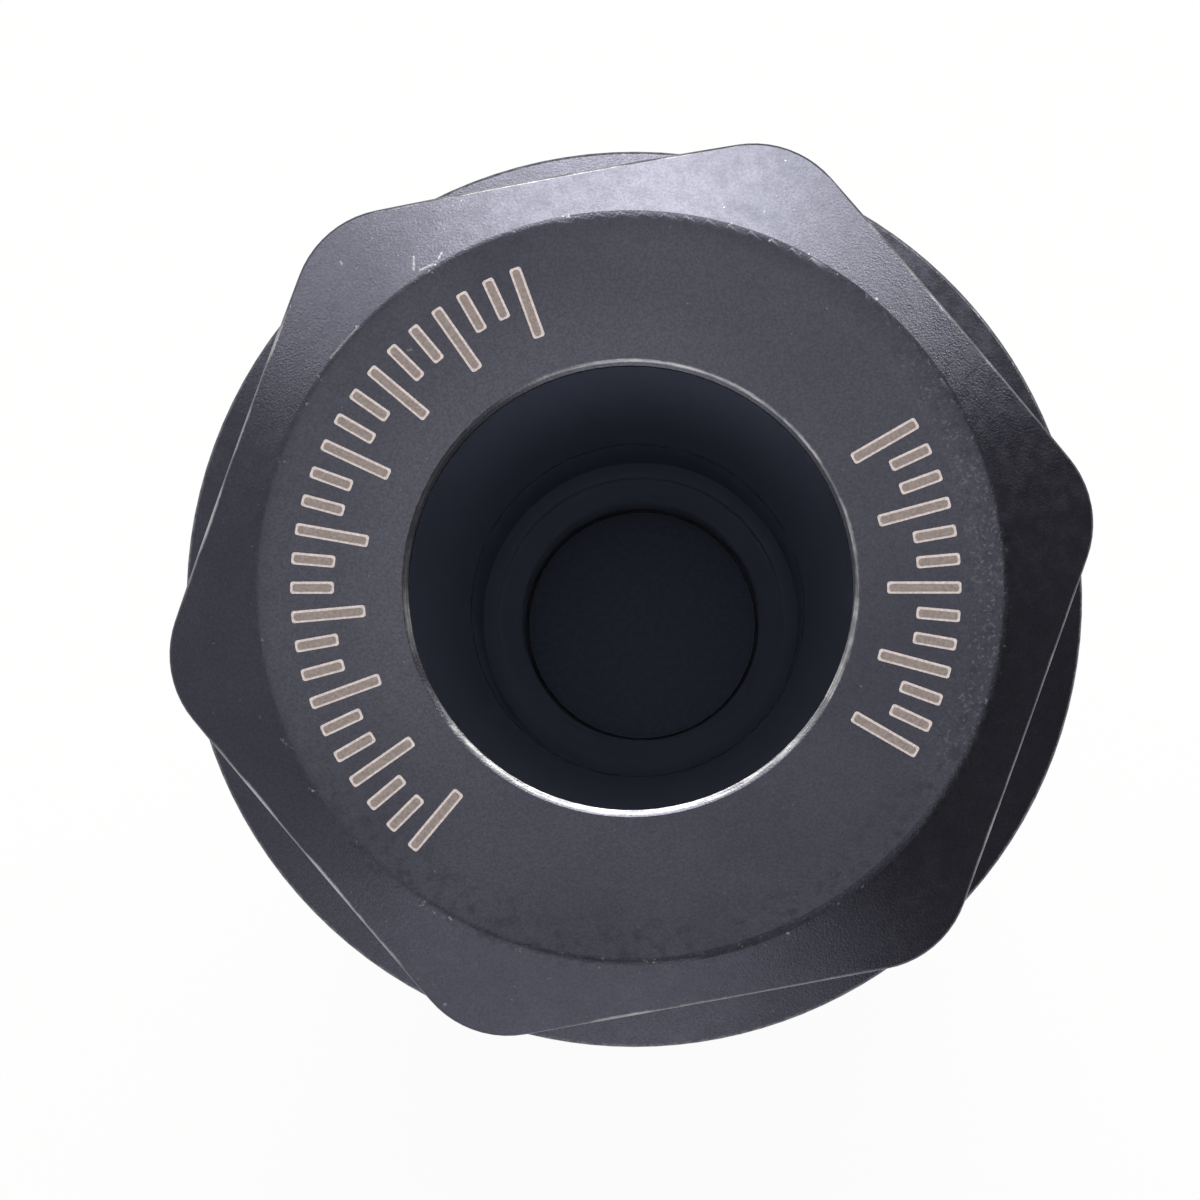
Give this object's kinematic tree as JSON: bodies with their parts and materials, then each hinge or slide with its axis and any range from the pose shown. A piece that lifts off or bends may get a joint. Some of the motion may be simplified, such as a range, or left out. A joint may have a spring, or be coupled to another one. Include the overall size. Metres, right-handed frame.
{
  "type": "straight shank collet chuck",
  "caption": "Straight shank collet chuck: round shank with wrench flats, tapered socket, stop screw and a hexagonal clamping nut.",
  "frame": {"origin": "centre of the shank's flat rear end, on the chuck's axis", "axes": "+Z along the chuck's axis from the shank's end to the nut's front face; the wrench flats face +X and -X"},
  "size_m": [0.028, 0.028, 0.1113],
  "materials": {
    "ground_steel": "ground bright",
    "black_oxide_steel": "black oxide, satin",
    "black_screw_steel": "black oxide, matt"
  },
  "bodies": {
    "chuck_body": {"chuck_body": "ground_steel"},
    "clamping_nut": {"clamping_nut": "black_oxide_steel"},
    "stop_screw": {"stop_screw": "black_screw_steel"}
  },
  "joints": [
    {"name": "nut_turn", "type": "hinge", "parent": "chuck_body", "child": "clamping_nut", "pos_m": [0, 0, 0.09376], "axis": [0, 0, 1], "range_deg": [-1470, 1830]},
    {"name": "stop_screw_travel", "type": "slide", "parent": "chuck_body", "child": "stop_screw", "axis": [0, 0, 1], "range_m": [-0.009, 0.0075]}
  ]
}
